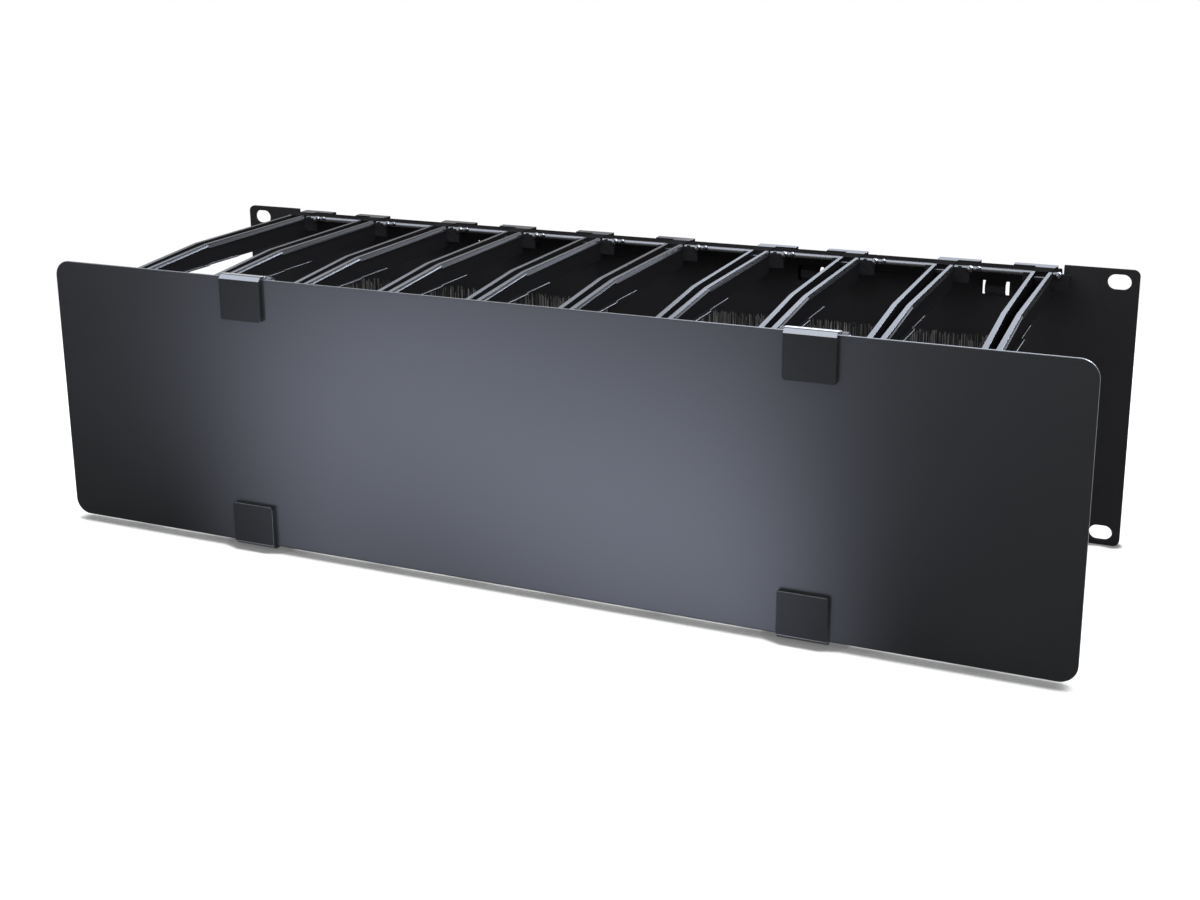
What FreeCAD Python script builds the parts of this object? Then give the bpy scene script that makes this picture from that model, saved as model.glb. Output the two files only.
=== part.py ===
"""Horizontal cable manager for a 19-inch rack, as a parametric FreeCAD document.

X runs along the rack, Y into the rack and Z up, in millimetres. The origin is the
middle of the rear face of the mounting plate, which seats on the rack posts. The
fingers, the hinge brackets and the cover clips are one moulding each: what stands
in the lower half is the upper piece turned half a turn about Y.
"""
import FreeCAD, Part
import math
import os
import re
import Sketcher

DIMENSIONS = [
    ("rack_wide", 482.6, "width of the mounting plate"),
    ("rack_units", 3, "height in rack units"),
    ("unit_pitch", 44.45, "height of one rack unit"),
    ("panel_relief", 0.79, "height left free for the neighbouring panels"),
    ("plate_thick", 2, "steel of the mounting plate"),
    ("plate_corner", 3, "corner radius of the ears"),
    ("slot_edge", 8.75, "rack slot centre in from the end of the plate"),
    ("slot_inset", 6.35, "rack slot centre below the edge of its unit"),
    ("slot_long", 10.4, "length of a rack slot"),
    ("slot_wide", 7.2, "width of a rack slot"),
    ("ear_wide", 33.3, "width of an ear"),
    ("deck_drop", 1.775, "top of the bent deck below the edge of its unit"),
    ("deck_reach", 14, "front edge of the bent deck before the rear face"),
    ("deck_gap", 0.8, "free gap between the deck and the ears"),
    ("bend_radius", 3, "outer radius of the deck's bend"),
    ("nose_radius", 1.6, "rounding of the deck's front edge"),
    ("finger_pitch", 44.45, "distance between fingers"),
    ("finger_count", 10, "fingers in each row"),
    ("finger_wide", 9, "width of a finger at its root"),
    ("tip_wide", 7.6, "width of a finger at its tip"),
    ("finger_wall", 1.6, "side wall of a finger"),
    ("finger_floor", 1.5, "floor of a finger's channel"),
    ("finger_deep", 11.3, "height of a finger at its root"),
    ("bend_reach", 100, "rear face of the plate to the bend of a finger"),
    ("bend_drop", 0.7, "fall of a finger's top edge up to its bend"),
    ("tip_drop", 5.8, "fall of a finger's top edge up to its tip"),
    ("tip_gap", 1.4, "free gap between a fingertip and the cover"),
    ("tip_wall", 2, "end wall of a finger's channel"),
    ("tip_side", 2.4, "side wall of a finger at its tip"),
    ("rim_drop", 0.3, "outer rims below the top edge of a finger"),
    ("rim_flare", 0.6, "how far the sloping rims stand out from a finger"),
    ("rim_deep", 2.2, "lower edge of the rims below the top edge, up to the bend"),
    ("rim_slim", 1.3, "lower edge of the rims below the top edge, past the bend"),
    ("lip_wide", 9.8, "width over the slim part of the lower lip"),
    ("lip_broad", 12.4, "width over the broad part of the lower lip"),
    ("lip_thick", 0.9, "thickness of the lower lip"),
    ("lip_reach", 76, "rear face of the plate to the start of the lower lip"),
    ("link_reach", 20, "rear face of the plate to the link between the walls"),
    ("link_deep", 2, "length of the link between the walls"),
    ("link_thick", 1.5, "thickness of the link between the walls"),
    ("link_sink", 1.4, "top of the link below the top edge of a finger"),
    ("shoe_short", 8.5, "middle of a finger to the near end of its shoe"),
    ("shoe_long", 12, "middle of a finger to the far end of its shoe"),
    ("shoe_wall", 1.4, "front wall of a finger's shoe"),
    ("shoe_deep", 7, "height of the shoe's front wall"),
    ("shoe_sink", 0.6, "top of the shoe's front wall below the deck"),
    ("tongue_thick", 2, "tongue of the shoe under the deck"),
    ("strap_thick", 0.5, "strap of a finger over the deck"),
    ("cap_short", 5, "middle of a finger to the near end of its rear cap"),
    ("cap_long", 14.5, "middle of a finger to the far end of its rear cap"),
    ("hook_thick", 1.6, "hook behind the mounting plate"),
    ("hook_deep", 6.5, "height of the hook behind the mounting plate"),
    ("nub_offset", 7.4, "middle of a finger to the nub on its shoe"),
    ("nub_wide", 1.6, "width of the nub on a shoe"),
    ("tie_level", 53.15, "height of the cable tie bridges"),
    ("tie_wide", 9.4, "width of a cable tie bridge"),
    ("tie_slot", 1.5, "slot beside a cable tie bridge"),
    ("tie_high", 6.7, "height of a cable tie bridge"),
    ("tie_bulge", 2.5, "how far a cable tie bridge stands out"),
    ("tie_root", 0.4, "root of a cable tie bridge in the plate"),
    ("window_near", 20, "middle of the plate to the near end of a window"),
    ("window_far", 189, "middle of the plate to the far end of a window"),
    ("window_top", 22, "upper edge of the windows"),
    ("window_low", 25, "lower edge of the windows, below the middle"),
    ("window_corner", 3, "corner radius of the windows"),
    ("brush_lap", 2, "bristles past the end of a window"),
    ("bristle_tip", 31, "height of the bristle tips"),
    ("bristle_thick", 2.4, "thickness of the bristle row"),
    ("tuft_pitch", 5, "distance between the tufts of bristles"),
    ("tuft_notch", 0.7, "depth of the notch between two tufts"),
    ("ragged_deep", 2.2, "depth of the ragged tips"),
    ("holder_drop", 1, "brush holder below the lower edge of a window"),
    ("holder_deep", 7, "depth of the holder's channel"),
    ("holder_wall", 1.2, "sheet of the brush holder"),
    ("flange_high", 8, "fixing flange under the holder's channel"),
    ("hook_inset", 18, "end of a holder to the middle of its hook"),
    ("hook_wide", 8, "width of a holder's hook"),
    ("hook_rise", 4, "height of a holder's hook behind the plate"),
    ("cover_wide", 482.6, "width of the cover"),
    ("cover_high", 128.1, "height of the cover"),
    ("cover_thick", 1.5, "sheet of the cover"),
    ("cover_corner", 7.5, "corner radius of the cover"),
    ("cover_reach", 158.4, "rear face of the plate to the front of the cover"),
    ("axis_drop", 2.15, "hinge axis below the upper edge of the cover"),
    ("barrel_radius", 2.9, "outer radius of a clip's barrel"),
    ("pin_radius", 1.5, "radius of a hinge pin"),
    ("pin_clearance", 0.08, "running clearance of a hinge pin, on the radius"),
    ("pin_stick", 0.6, "end of a hinge pin past its ear"),
    ("clip_wide", 21.9, "width of a cover clip"),
    ("clip_proud", 2.3, "clip in front of the cover"),
    ("clip_rise", 1.35, "clip above the edge of the cover"),
    ("clip_deep", 21, "height of a clip's front pad"),
    ("clip_leg", 0.8, "rear leg of a clip behind the cover"),
    ("leg_deep", 6.4, "height of the rear leg"),
    ("clip_round", 2.5, "rounding of a clip's upper front edge"),
    ("clip_corner", 3, "lower corner radius of a clip's front pad"),
    ("peg_spread", 12, "distance between the two pegs of a clip"),
    ("peg_lift", 3.2, "pegs above the lower end of a clip's front pad"),
    ("peg_wide", 3, "width of a clip's peg"),
    ("peg_high", 3, "height of a clip's peg"),
    ("peg_catch", 0.8, "catch of a peg over the back of the cover"),
    ("peg_nose", 1.5, "length of a peg behind the cover"),
    ("side_gap", 0.35, "free gap beside a clip's barrel"),
    ("sweep_gap", 0.3, "free gap between an ear and the turning cover"),
    ("ear_thick", 2.5, "thickness of a bracket's ear"),
    ("bracket_thick", 2.5, "thickness of a bracket's bar"),
    ("bracket_deep", 12, "depth of a bracket's bar"),
    ("tab_gap", 0.1, "fit between a bracket's tab and a finger"),
    ("tab_thick", 1.2, "thickness of a bracket's tab"),
    ("tab_high", 1.8, "height of a bracket's tab"),
]

EDGE = "(rack_units * unit_pitch / 2)"
PLATE_TOP = f"({EDGE} - panel_relief / 2)"
SLOT_MIDDLE = "(rack_wide / 2 - slot_edge)"
SLOT_LEVEL = f"({EDGE} - slot_inset)"
EAR_START = "(rack_wide / 2 - ear_wide)"
DECK_TOP = f"({EDGE} - deck_drop)"
DECK_LOW = f"({DECK_TOP} - plate_thick)"
DECK_HALF = f"({EAR_START} - deck_gap)"

COVER_BACK = "(cover_reach - cover_thick)"
COVER_TOP = "(cover_high / 2)"
AXIS_REACH = f"({COVER_BACK} - barrel_radius)"
AXIS_LEVEL = f"({COVER_TOP} - axis_drop)"
BORE_RADIUS = "(pin_radius + pin_clearance)"
CLIP_TOP = f"({COVER_TOP} + clip_rise)"
CLIP_LOW = f"({CLIP_TOP} - clip_deep)"
CLIP_FRONT = "(cover_reach + clip_proud)"
LEG_BACK = f"({COVER_BACK} - clip_leg)"
PEG_LEVEL = f"({CLIP_LOW} + peg_lift)"

FINGER_TOP = f"({DECK_TOP} + strap_thick)"
FINGER_LOW = f"({FINGER_TOP} - finger_deep)"
BEND_TOP = f"({FINGER_TOP} - bend_drop)"
TIP_TOP = f"({FINGER_TOP} - tip_drop)"
TIP_REACH = f"({COVER_BACK} - tip_gap)"
TIP_OUTER = "(tip_wide / 2)"
ROOT_OUTER = "(finger_wide / 2)"
BEND_SHARE = f"((bend_reach - deck_reach) / ({TIP_REACH} - deck_reach))"
BEND_OUTER = f"({ROOT_OUTER} + ({TIP_OUTER} - {ROOT_OUTER}) * {BEND_SHARE})"
SHOE_FRONT = "(deck_reach + shoe_wall)"

HINGE_MIDDLE = "((finger_count / 2 - 2) * finger_pitch)"
EAR_INNER = "(clip_wide / 2 + side_gap)"
EAR_OUTER = f"({EAR_INNER} + ear_thick)"
EAR_RADIUS = "(barrel_radius - sweep_gap)"

BRUSH_NEAR = "(window_near - brush_lap)"
BRUSH_FAR = "(window_far + brush_lap)"
BRUSH_BACK = "(plate_thick + holder_wall)"
BRUSH_FRONT = f"({BRUSH_BACK} + bristle_thick)"
HOLDER_TOP = "(-window_low - holder_drop)"
HOLDER_FLOOR = f"({HOLDER_TOP} - holder_deep)"
HOLDER_LOW = f"({HOLDER_FLOOR} - holder_wall - flange_high)"
HOOK_LOW = f"({HOLDER_LOW} + flange_high / 4)"
HOOK_TOP = f"({HOOK_LOW} + hook_rise)"
WINDOW_MIDDLE = "((window_near + window_far) / 2)"

CLEAR = 1.0  # how far a cut runs past the face that it opens


def make_sheet(doc):
    """Keep the driving dimensions in a spreadsheet, one alias for each."""
    sheet = doc.addObject("Spreadsheet::Sheet", "sizes")
    for row, (name, size, note) in enumerate(DIMENSIONS, start=1):
        sheet.set(f"A{row}", name)
        sheet.set(f"B{row}", str(size))
        sheet.setAlias(f"B{row}", name)
        sheet.set(f"C{row}", note)
    doc.recompute()
    return sheet


def bind(text):
    """Turn the plain names of sizes in an expression into cells of the sheet."""
    return re.sub(r"\b[a-z]+(?:_[a-z]+)+\b", r"sizes.\g<0>", str(text))


def value(doc, text):
    """The number that an expression of sizes has now."""
    return doc.sizes.evalExpression(bind(text))


def new_body(doc, label):
    body = doc.addObject("PartDesign::Body", label)
    body.Label = label
    return body


def new_sketch(body, name, plane, offset="0"):
    """Add a sketch on one of the body's own origin planes, moved along its normal."""
    sketch = body.newObject("Sketcher::SketchObject", name)
    support = [item for item in body.Origin.OriginFeatures if item.Role == plane]
    sketch.AttachmentSupport = [(support[0], "")]
    sketch.MapMode = "FlatFace"
    sketch.setExpression(".AttachmentOffset.Base.z", bind(offset))
    return sketch


def fix_point(sketch, geometry, point, x, y):
    """Hold a sketch point at two expressions measured from the origin."""
    for kind, text in (("DistanceX", x), ("DistanceY", y)):
        size = sketch.evalExpression(bind(text))
        index = sketch.addConstraint(Sketcher.Constraint(kind, -1, 1, geometry, point, size))
        sketch.setExpression(f"Constraints[{index}]", bind(text))


def outline(sketch, corners):
    """Add a closed outline of straight lines through corners given as expressions."""
    points = [FreeCAD.Vector(*[sketch.evalExpression(bind(text)) for text in corner])
              for corner in corners]
    first = sketch.GeometryCount
    count = len(points)
    lines = [Part.LineSegment(points[i], points[(i + 1) % count]) for i in range(count)]
    sketch.addGeometry(lines, False)
    for i in range(count):
        following = first + (i + 1) % count
        sketch.addConstraint(Sketcher.Constraint("Coincident", first + i, 2, following, 1))
    for i, corner in enumerate(corners):
        fix_point(sketch, first + i, 1, *corner)


def rectangle(sketch, left, low, right, high):
    outline(sketch, [(left, low), (right, low), (right, high), (left, high)])


def circle(sketch, x, y, radius):
    middle = FreeCAD.Vector(*[sketch.evalExpression(bind(text)) for text in (x, y)])
    size = sketch.evalExpression(bind(radius))
    index = sketch.addGeometry(Part.Circle(middle, FreeCAD.Vector(0, 0, 1), size), False)
    fix_point(sketch, index, 3, x, y)
    bound = sketch.addConstraint(Sketcher.Constraint("Radius", index, size))
    sketch.setExpression(f"Constraints[{bound}]", bind(radius))


def obround(sketch, x, y, long, wide):
    """Add a slot with round ends that runs along the sketch's first axis."""
    half = f"(({long} - {wide}) / 2)"
    ends = [(f"{x} - {half}", y), (f"{x} + {half}", y)]
    left, right = [FreeCAD.Vector(*[sketch.evalExpression(bind(text)) for text in end])
                   for end in ends]
    radius = sketch.evalExpression(bind(f"{wide} / 2"))
    rise = FreeCAD.Vector(0, radius)
    normal = FreeCAD.Vector(0, 0, 1)
    first = sketch.GeometryCount
    sketch.addGeometry([
        Part.ArcOfCircle(Part.Circle(left, normal, radius), math.pi / 2, 3 * math.pi / 2),
        Part.LineSegment(left - rise, right - rise),
        Part.ArcOfCircle(Part.Circle(right, normal, radius), -math.pi / 2, math.pi / 2),
        Part.LineSegment(right + rise, left + rise),
    ], False)
    for step in range(4):
        following = first + (step + 1) % 4
        sketch.addConstraint(Sketcher.Constraint("Tangent", first + step, 2, following, 1))
    sketch.addConstraint(Sketcher.Constraint("Equal", first, first + 2))
    fix_point(sketch, first, 3, *ends[0])
    fix_point(sketch, first + 2, 3, *ends[1])
    index = sketch.addConstraint(Sketcher.Constraint("Radius", first, radius))
    sketch.setExpression(f"Constraints[{index}]", bind(f"{wide} / 2"))


def pad(body, name, sketch, length, side="One side", reverse=False):
    feature = body.newObject("PartDesign::Pad", name)
    feature.Profile = sketch
    feature.SideType = side
    feature.Reversed = reverse
    feature.setExpression("Length", bind(length))
    return feature


def pocket(body, name, sketch, length=None, side="One side", reverse=False):
    """Cut a sketch to a depth, or through everything when no depth is given."""
    feature = body.newObject("PartDesign::Pocket", name)
    feature.Profile = sketch
    feature.SideType = side
    feature.Reversed = reverse
    if length is None:
        feature.Type = "ThroughAll"
    else:
        feature.setExpression("Length", bind(length))
    return feature


def loft(body, name, start, end):
    """Add the straight form between two sketches."""
    feature = body.newObject("PartDesign::AdditiveLoft", name)
    feature.Profile = start
    feature.Sections = [end]
    feature.Ruled = True
    return feature


def round_edges(body, name, radius, wanted):
    """Fillet the straight edges of the body's tip whose two ends satisfy wanted."""
    body.Document.recompute()
    base = body.Tip
    edges = []
    for index, edge in enumerate(base.Shape.Edges, start=1):
        ends = [vertex.Point for vertex in edge.Vertexes]
        straight = edge.Curve.TypeId == "Part::GeomLine"
        if straight and len(ends) == 2 and wanted(*ends):
            edges.append(f"Edge{index}")
    if not edges:
        raise RuntimeError(f"{body.Label}: no edge to round for {name}")
    feature = body.newObject("PartDesign::Fillet", name)
    feature.Base = (base, edges)
    feature.setExpression("Radius", bind(radius))
    return feature


def near(first, second):
    return abs(first - second) < 1e-4


def rack_slots(body):
    """Cut the four obround slots for the rack screws."""
    view = new_sketch(body, "slot_face", "XZ_Plane")
    for side in ("-", ""):
        for turn in ("-", ""):
            obround(view, f"{side}{SLOT_MIDDLE}", f"{turn}{SLOT_LEVEL}",
                    "slot_long", "slot_wide")
    pocket(body, "rack_slots", view, side="Symmetric")


def deck_profile(sketch, turn):
    """Bent edge of the plate: up the rear face, then forward to the deck's nose."""
    outline(sketch, [
        ("0", f"{turn}({DECK_TOP} - bend_radius)"),
        ("0", f"{turn}{DECK_TOP}"),
        ("-deck_reach", f"{turn}{DECK_TOP}"),
        ("-deck_reach", f"{turn}{DECK_LOW}"),
        ("-plate_thick", f"{turn}{DECK_LOW}"),
        ("-plate_thick", f"{turn}({DECK_TOP} - bend_radius)"),
    ])


def tie_profile(sketch, turn):
    """Side view of one cable tie bridge, pressed forward out of the plate."""
    level = f"({turn}tie_level)"
    end = "(tie_high / 2 + tie_root)"
    knee = "(tie_high / 4)"
    outline(sketch, [
        ("-plate_thick", f"{level} + {end}"),
        ("-plate_thick - tie_bulge", f"{level} + {knee}"),
        ("-plate_thick - tie_bulge", f"{level} - {knee}"),
        ("-plate_thick", f"{level} - {end}"),
        ("0", f"{level} - {end}"),
        ("-tie_bulge", f"{level} - {knee}"),
        ("-tie_bulge", f"{level} + {knee}"),
        ("0", f"{level} + {end}"),
    ])


def mounting_plate(doc):
    """Sheet with two ears, a bent deck above and below, windows and tie bridges."""
    body = new_body(doc, "mounting_plate")
    face = new_sketch(body, "sheet_face", "XZ_Plane")
    rectangle(face, "-rack_wide / 2", f"-{PLATE_TOP}", "rack_wide / 2", PLATE_TOP)
    pad(body, "sheet", face, "plate_thick")

    notch = new_sketch(body, "notch_face", "XZ_Plane")
    for turn in ("-", ""):
        rectangle(notch, f"-{EAR_START}", f"{turn}({DECK_TOP} - bend_radius)",
                  EAR_START, f"{turn}({PLATE_TOP} + {CLEAR})")
    pocket(body, "notches", notch, side="Symmetric")

    bend = new_sketch(body, "deck_side", "YZ_Plane")
    for turn in ("-", ""):
        deck_profile(bend, turn)
    pad(body, "decks", bend, f"2 * {DECK_HALF}", side="Symmetric")

    top = value(doc, PLATE_TOP)
    deck = value(doc, DECK_TOP)
    reach = value(doc, "deck_reach")
    thick = value(doc, "plate_thick")
    round_edges(body, "ear_corners", "plate_corner", lambda a, b: (
        near(a.x, b.x) and near(a.z, b.z) and near(abs(a.z), top)
        and near(abs(a.x), value(doc, "rack_wide / 2"))))
    round_edges(body, "bend_outside", "bend_radius - 0.01", lambda a, b: (
        near(a.y, 0) and near(b.y, 0) and near(abs(a.z), deck) and near(a.z, b.z)))
    round_edges(body, "bend_inside", "bend_radius - plate_thick", lambda a, b: (
        near(a.y, -thick) and near(b.y, -thick)
        and near(abs(a.z), deck - thick) and near(a.z, b.z)))
    round_edges(body, "deck_nose", "nose_radius", lambda a, b: (
        near(a.y, -reach) and near(b.y, -reach) and near(abs(a.z), deck) and near(a.z, b.z)))

    rack_slots(body)
    cut_windows(doc, body)
    tie_bridges(doc, body)
    openings = new_sketch(body, "hook_face", "XZ_Plane")
    for x in hook_places():
        rectangle(openings, f"{x} - hook_wide / 2", HOOK_LOW, f"{x} + hook_wide / 2", HOOK_TOP)
    pocket(body, "hook_openings", openings, side="Symmetric")
    return body


def cut_windows(doc, body):
    """Cut the two brush windows and round their corners."""
    view = new_sketch(body, "window_face", "XZ_Plane")
    rectangle(view, "-window_far", "-window_low", "-window_near", "window_top")
    rectangle(view, "window_near", "-window_low", "window_far", "window_top")
    pocket(body, "windows", view, side="Symmetric")
    ends = (value(doc, "window_near"), value(doc, "window_far"))
    levels = (-value(doc, "window_low"), value(doc, "window_top"))
    round_edges(body, "window_corners", "window_corner", lambda a, b: (
        near(a.x, b.x) and near(a.z, b.z)
        and any(near(abs(a.x), x) for x in ends) and any(near(a.z, z) for z in levels)))


def tie_bridges(doc, body):
    """Cut the slots for cable ties and add the bridges that stand out of the plate."""
    places = [f"({step} * finger_pitch)" for step in (-4, -2, 2, 4)]
    cuts = new_sketch(body, "tie_face", "XZ_Plane")
    for x in places:
        for turn in ("-", ""):
            level = f"({turn}tie_level)"
            rectangle(cuts, f"{x} - tie_wide / 2 - tie_slot", f"{level} - tie_high / 2",
                      f"{x} + tie_wide / 2 + tie_slot", f"{level} + tie_high / 2")
    pocket(body, "tie_cuts", cuts, side="Symmetric")
    for number, x in enumerate(places, start=1):
        view = new_sketch(body, f"tie_side_{number}", "YZ_Plane", x)
        for turn in ("-", ""):
            tie_profile(view, turn)
        pad(body, f"tie_bridge_{number}", view, "tie_wide", side="Symmetric")


def finger(doc, label, cap_left, cap_right):
    """One finger of the upper row, about its own middle plane."""
    body = new_body(doc, label)
    side = new_sketch(body, "finger_side", "YZ_Plane")
    outline(side, [
        ("-deck_reach", FINGER_LOW),
        ("-deck_reach", FINGER_TOP),
        ("-bend_reach", BEND_TOP),
        (f"-{TIP_REACH}", TIP_TOP),
        (f"-{TIP_REACH}", FINGER_LOW),
    ])
    pad(body, "beam", side, "finger_wide", side="Symmetric")
    taper = new_sketch(body, "taper_plan", "XY_Plane", FINGER_LOW)
    for turn in ("-", ""):
        outline(taper, [
            (f"{turn}(finger_wide / 2)", "-deck_reach"),
            (f"{turn}(finger_wide / 2 + {CLEAR})", "-deck_reach"),
            (f"{turn}(finger_wide / 2 + {CLEAR})", f"-{TIP_REACH} - {CLEAR}"),
            (f"{turn}{TIP_OUTER}", f"-{TIP_REACH} - {CLEAR}"),
            (f"{turn}{TIP_OUTER}", f"-{TIP_REACH}"),
        ])
    pocket(body, "taper", taper, reverse=True)
    finger_rims(body)
    finger_channel(body)
    finger_shoe(body, cap_left, cap_right)
    return body


def rim_section(body, name, reach, half, top, deep):
    """Section across both rims, a trapezium that widens downwards."""
    sketch = new_sketch(body, name, "XZ_Plane", reach)
    outline(sketch, [
        (f"-{half}", f"{top} - rim_drop"),
        (half, f"{top} - rim_drop"),
        (f"{half} + rim_flare", f"{top} - {deep}"),
        (f"-{half} - rim_flare", f"{top} - {deep}"),
    ])
    return sketch


def finger_rims(body):
    """Sloping outer rims, deep up to the bend and slim past it, and the lip along the floor."""
    root = ("deck_reach", ROOT_OUTER, FINGER_TOP)
    bend = ("bend_reach", BEND_OUTER, BEND_TOP)
    tip = (TIP_REACH, TIP_OUTER, TIP_TOP)
    for name, start, end, deep in (("root_rims", root, bend, "rim_deep"),
                                   ("tip_rims", bend, tip, "rim_slim")):
        loft(body, name, rim_section(body, f"{name}_start", *start, deep),
             rim_section(body, f"{name}_end", *end, deep))
    lip = new_sketch(body, "lip_plan", "XY_Plane", FINGER_LOW)
    outline(lip, [
        ("-lip_wide / 2", "-lip_reach"),
        ("lip_wide / 2", "-lip_reach"),
        ("lip_wide / 2", "-bend_reach"),
        ("lip_broad / 2", "-bend_reach - (lip_broad - lip_wide)"),
        ("lip_broad / 2", f"-{TIP_REACH}"),
        ("-lip_broad / 2", f"-{TIP_REACH}"),
        ("-lip_broad / 2", "-bend_reach - (lip_broad - lip_wide)"),
        ("-lip_wide / 2", "-bend_reach"),
    ])
    pad(body, "lip", lip, "lip_thick")


def finger_channel(body):
    """Open the finger along its top and leave a link between its walls."""
    root = "(finger_wide / 2 - finger_wall)"
    tip = f"({TIP_OUTER} - tip_side)"
    plan = new_sketch(body, "channel_plan", "XY_Plane", f"{FINGER_TOP} + {CLEAR}")
    outline(plan, [
        (f"-{root}", f"-{SHOE_FRONT}"),
        (root, f"-{SHOE_FRONT}"),
        (tip, f"-{TIP_REACH} + tip_wall"),
        (f"-{tip}", f"-{TIP_REACH} + tip_wall"),
    ])
    pocket(body, "channel", plan, f"finger_deep - finger_floor + {CLEAR}")
    link = new_sketch(body, "link_plan", "XY_Plane", f"{FINGER_TOP} - link_sink")
    rectangle(link, "-finger_wide / 2 + finger_wall / 2", "-link_reach - link_deep",
              "finger_wide / 2 - finger_wall / 2", "-link_reach")
    pad(body, "link", link, "link_thick", reverse=True)


def finger_shoe(body, cap_left, cap_right):
    """Clamp that holds the finger: round the deck's nose and behind the plate."""
    wall = new_sketch(body, "shoe_plan", "XY_Plane", f"{DECK_TOP} - shoe_sink")
    rectangle(wall, "-shoe_short", f"-{SHOE_FRONT}", "shoe_long", "-deck_reach")
    pad(body, "shoe", wall, "shoe_deep", reverse=True)
    tongue = new_sketch(body, "tongue_plan", "XY_Plane", DECK_LOW)
    rectangle(tongue, "-shoe_short", "-deck_reach", "shoe_long", "-plate_thick - bend_radius")
    pad(body, "tongue", tongue, "tongue_thick", reverse=True)
    strap = new_sketch(body, "strap_plan", "XY_Plane", DECK_TOP)
    outline(strap, [
        ("-finger_wide / 2", "-deck_reach"),
        ("finger_wide / 2", "-deck_reach"),
        ("finger_wide / 2", "-bend_radius"),
        (cap_right, "-bend_radius"),
        (cap_right, "hook_thick"),
        (f"-{cap_left}", "hook_thick"),
        (f"-{cap_left}", "-bend_radius"),
        ("-finger_wide / 2", "-bend_radius"),
    ])
    pad(body, "strap", strap, "strap_thick")
    hook = new_sketch(body, "hook_plan", "XY_Plane", DECK_TOP)
    rectangle(hook, f"-{cap_left}", "0", cap_right, "hook_thick")
    pad(body, "hook", hook, "hook_deep", reverse=True)
    nub = new_sketch(body, "nub_plan", "XY_Plane", f"{DECK_TOP} - shoe_sink")
    rectangle(nub, "nub_offset - nub_wide / 2", f"-{SHOE_FRONT}",
              "nub_offset + nub_wide / 2", "-deck_reach")
    pad(body, "nub", nub, "shoe_sink")


def repeat(doc, label, master, x, upside_down):
    """Place a copy of a moulding, turned half a turn about Y for the lower half."""
    body = new_body(doc, label)
    copy = body.newObject("PartDesign::FeatureBase", f"{label}_copy")
    copy.BaseFeature = master
    place(body, x, upside_down)
    return body


def place(body, x, upside_down=False):
    turn = FreeCAD.Rotation(FreeCAD.Vector(0, 1, 0), 180 if upside_down else 0)
    body.Placement = FreeCAD.Placement(FreeCAD.Vector(), turn)
    body.setExpression(".Placement.Base.x", bind(x))


def finger_rows(doc):
    """Ten fingers above and ten below, in two mouldings whose rear caps point
    alternately left and right. Turned over, each moulding points the other way."""
    caps = {"right": ("cap_short", "cap_long"), "left": ("cap_long", "cap_short")}
    masters = {}
    bodies = []
    count = int(value(doc, "finger_count"))
    for row in ("top", "bottom"):
        upside_down = row == "bottom"
        for index in range(count):
            label = f"finger_{row}_{index + 1:02d}"
            x = f"({index} - (finger_count - 1) / 2) * finger_pitch"
            points_right = index % 2 == 0 and index != count // 2 - 1
            kind = "right" if points_right != upside_down else "left"
            if kind in masters:
                bodies.append(repeat(doc, label, masters[kind], x, upside_down=upside_down))
            else:
                masters[kind] = finger(doc, label, *caps[kind])
                place(masters[kind], x)
                bodies.append(masters[kind])
    return bodies


def cover_panel(doc):
    """Flat sheet with round corners and the holes for the pegs of the clips."""
    body = new_body(doc, "cover_panel")
    face = new_sketch(body, "panel_face", "XZ_Plane", COVER_BACK)
    rectangle(face, "-cover_wide / 2", f"-{COVER_TOP}", "cover_wide / 2", COVER_TOP)
    pad(body, "panel", face, "cover_thick")
    round_edges(body, "panel_corners", "cover_corner",
                lambda a, b: near(a.x, b.x) and near(a.z, b.z))
    holes = new_sketch(body, "peg_holes_face", "XZ_Plane", COVER_BACK)
    for side in ("-", ""):
        for peg in ("-", ""):
            for turn in ("-", ""):
                x = f"{side}{HINGE_MIDDLE} + {peg}peg_spread / 2"
                level = f"{turn}{PEG_LEVEL}"
                rectangle(holes, f"{x} - peg_wide / 2", f"{level} - peg_high / 2",
                          f"{x} + peg_wide / 2", f"{level} + peg_high / 2")
    pocket(body, "peg_holes", holes, side="Symmetric")
    return body


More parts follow.
